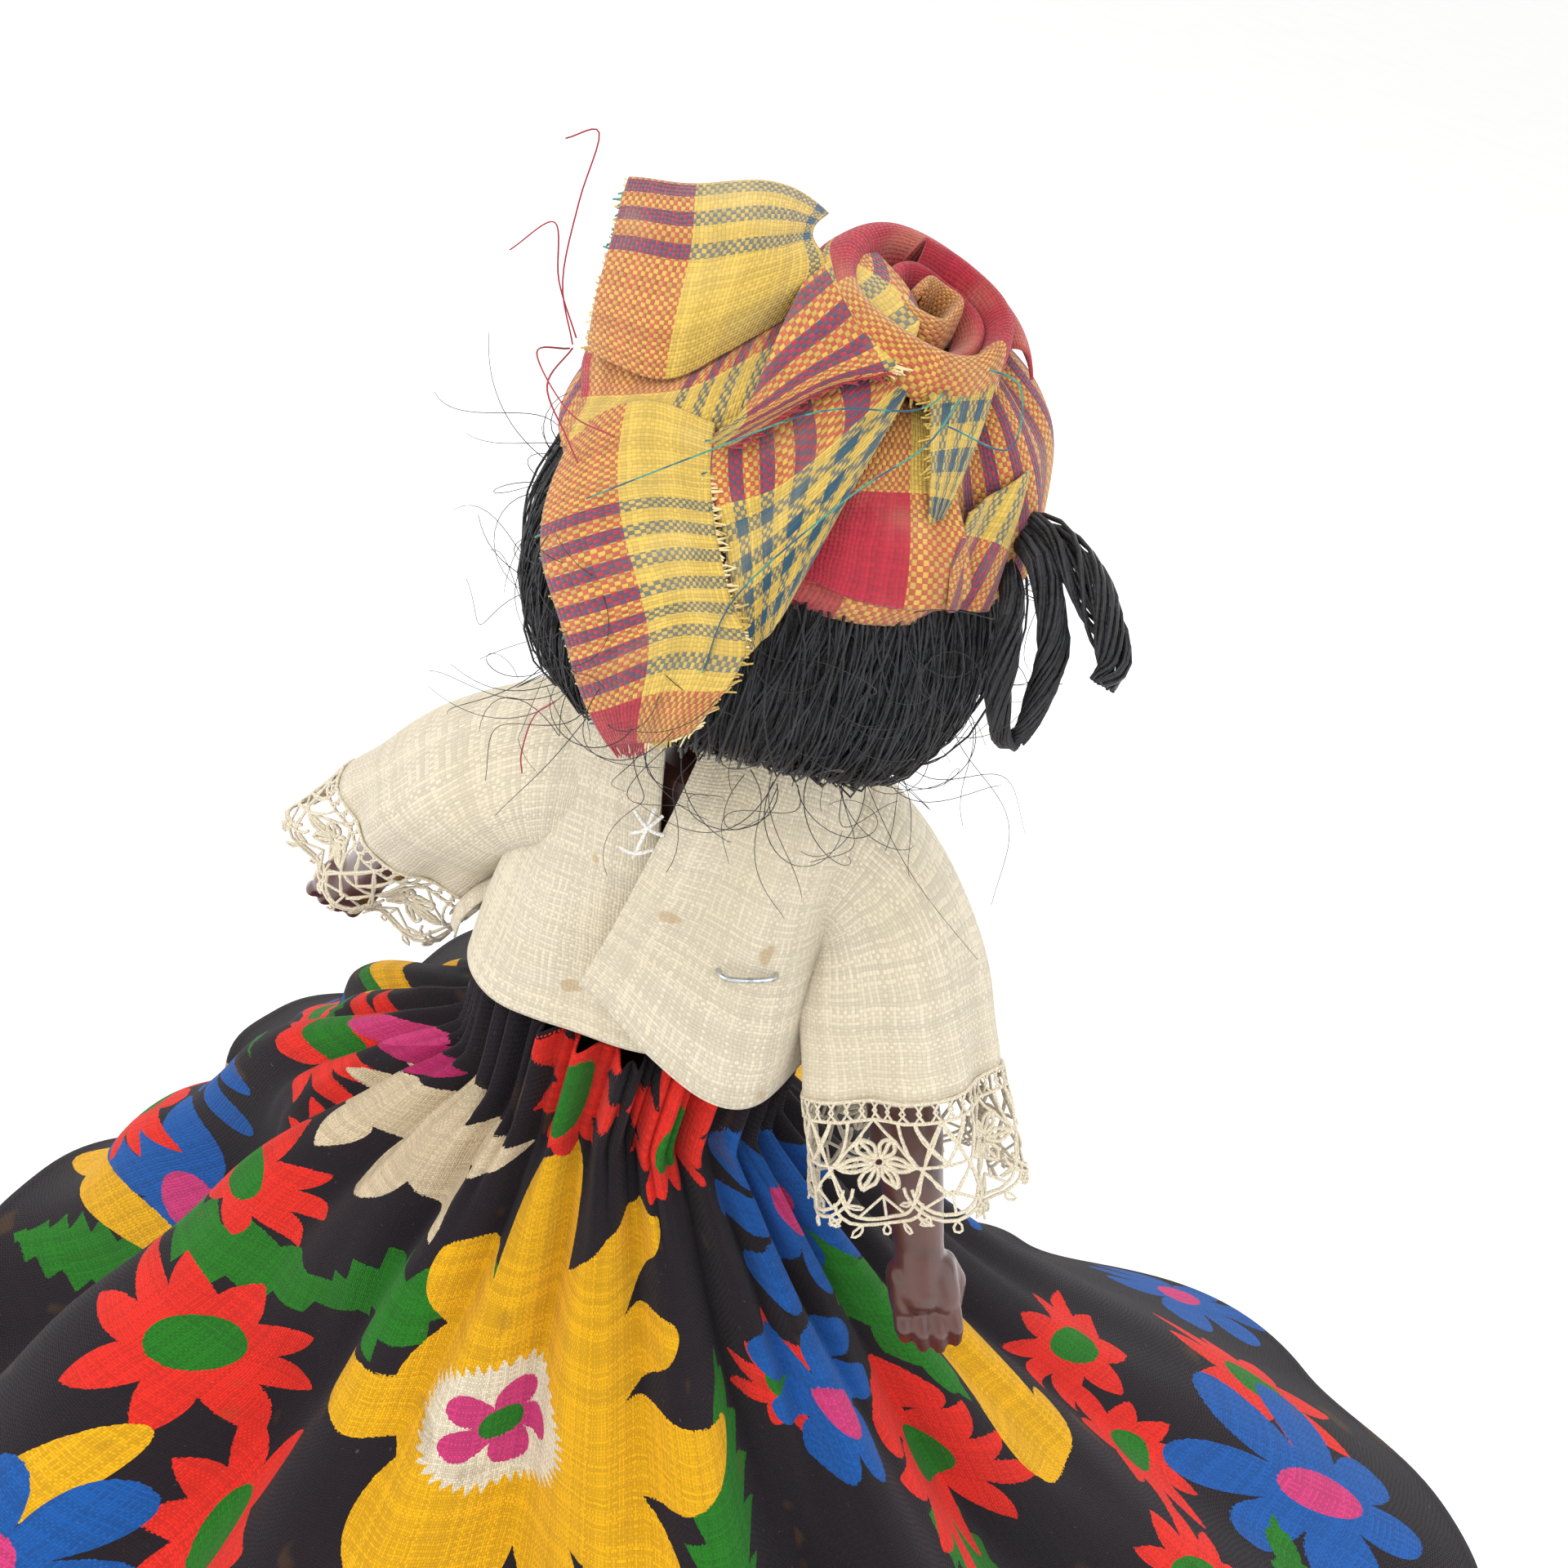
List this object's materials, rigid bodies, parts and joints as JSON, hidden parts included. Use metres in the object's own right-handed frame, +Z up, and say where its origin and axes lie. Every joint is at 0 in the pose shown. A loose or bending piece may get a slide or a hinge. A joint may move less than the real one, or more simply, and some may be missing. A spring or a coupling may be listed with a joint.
{
  "type": "dressed folk doll",
  "caption": "Hollow hard-plastic folk doll with turning head, swinging arms and sleeping eyes, in a checked head scarf, muslin blouse with lace cuffs and a wide gathered flower-print skirt.",
  "frame": {"origin": "centre of the skirt's hem on the surface that the doll stands on", "axes": "+Z up, the doll faces -Y, +X to the doll's left"},
  "size_m": [0.25, 0.25, 0.1946],
  "materials": {
    "skin_plastic": "dark brown moulded hard plastic, glossy, with mould seams",
    "yoke_plastic": "dull grey moulded plastic",
    "eye_enamel": "glossy enamelled white with a dark iris",
    "eye_wire": "bright drawn wire",
    "eye_lead": "dull cast metal",
    "hair_fibre": "black synthetic fibre, soft sheen",
    "scarf_check": "plain-woven checked cotton in gold, crimson, teal and navy",
    "scarf_red": "plain-woven cotton, mostly the crimson band of the check",
    "muslin": "unbleached plain-woven cotton muslin",
    "cotton_lace": "cream machine-made cluny lace of cotton thread",
    "stitch_thread": "white cotton sewing thread",
    "staple_wire": "dull steel wire",
    "skirt_print": "cotton printed with large bright flowers on aubergine black"
  },
  "bodies": {
    "body": {"torso_front": "skin_plastic", "torso_back": "skin_plastic", "blouse_front": "muslin", "blouse_back_left": "muslin", "blouse_back_right": "muslin", "back_stitches": "stitch_thread", "side_staple": "staple_wire", "skirt_waistband": "skirt_print", "skirt": "skirt_print"},
    "head": {"neck_plug": "skin_plastic", "head_front": "skin_plastic", "head_back": "skin_plastic", "eye_yoke": "yoke_plastic", "wig": "hair_fibre", "hair_lock_outer": "hair_fibre", "hair_lock_loop": "hair_fibre", "scarf_wrap": "scarf_check", "scarf_knot": "scarf_red", "scarf_flap": "scarf_check", "scarf_tail_short": "scarf_check", "scarf_tail_long": "scarf_check"},
    "eyes": {"left_eye": "eye_enamel", "right_eye": "eye_enamel", "eye_axle": "eye_wire", "eye_weight": "eye_lead"},
    "left_arm": {"left_arm": "skin_plastic", "left_sleeve": "muslin", "left_lace": "cotton_lace"},
    "right_arm": {"right_arm": "skin_plastic", "right_sleeve": "muslin", "right_lace": "cotton_lace"}
  },
  "joints": [
    {"name": "neck_turn", "type": "hinge", "parent": "body", "child": "head", "pos_m": [0.027, 0.02, 0.141], "axis": [0, 0, 1], "continuous": true},
    {"name": "left_shoulder", "type": "hinge", "parent": "body", "child": "left_arm", "pos_m": [0.027, 0.02, 0.133], "axis": [-1, 0, 0], "range_deg": [-85, 85]},
    {"name": "right_shoulder", "type": "hinge", "parent": "body", "child": "right_arm", "pos_m": [0.027, 0.02, 0.133], "axis": [-1, 0, 0], "range_deg": [-40, 130]},
    {"name": "eye_roll", "type": "hinge", "parent": "head", "child": "eyes", "pos_m": [0.027, 0.0064, 0.166], "axis": [1, 0, 0], "range_deg": [0, 55]}
  ]
}
